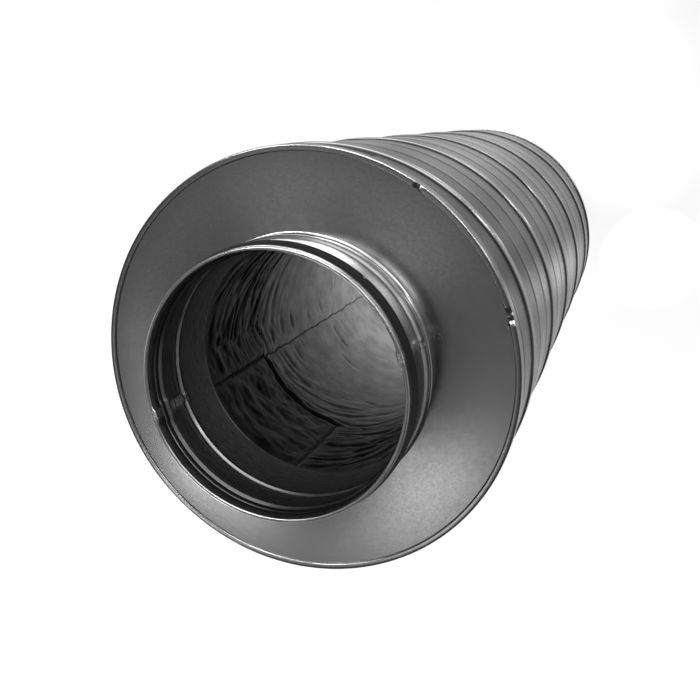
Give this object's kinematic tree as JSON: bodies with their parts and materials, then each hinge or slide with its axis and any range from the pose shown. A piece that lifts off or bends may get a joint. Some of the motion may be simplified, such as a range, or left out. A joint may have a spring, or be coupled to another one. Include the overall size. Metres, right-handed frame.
{
  "type": "duct sound attenuator",
  "caption": "Straight round duct silencer: spiral-seamed galvanised casing, wool lining with tissue facing, and flat end plates with gasketed spigots for push-in duct joints.",
  "frame": {"origin": "centre of the circle on which the hem of the rear spigot rests, at the bottom of the part", "axes": "+Z along the duct axis from the rear spigot to the front spigot, +X to the right as the front end is seen in the picture"},
  "size_m": [0.2644, 0.2644, 0.694],
  "materials": {
    "casing_sheet": "galvanised steel strip, satin, with faint rolling lines",
    "plate_sheet": "galvanised steel sheet, dull, with fine spangle",
    "spigot_sheet": "galvanised steel sheet, satin, rolled and welded",
    "gasket_rubber": "matt black",
    "mineral_wool": "fibrous",
    "glass_tissue": "matt dark grey fleece with soft creases"
  },
  "bodies": {
    "root": {"outer_casing": "casing_sheet", "front_end_plate": "plate_sheet", "rear_end_plate": "plate_sheet", "front_spigot": "spigot_sheet", "rear_spigot": "spigot_sheet", "front_gasket": "gasket_rubber", "rear_gasket": "gasket_rubber", "front_wool_batt": "mineral_wool", "infill_wool_batt": "mineral_wool", "rear_wool_batt": "mineral_wool", "front_facing": "glass_tissue", "infill_facing": "glass_tissue", "rear_facing": "glass_tissue"}
  },
  "joints": []
}
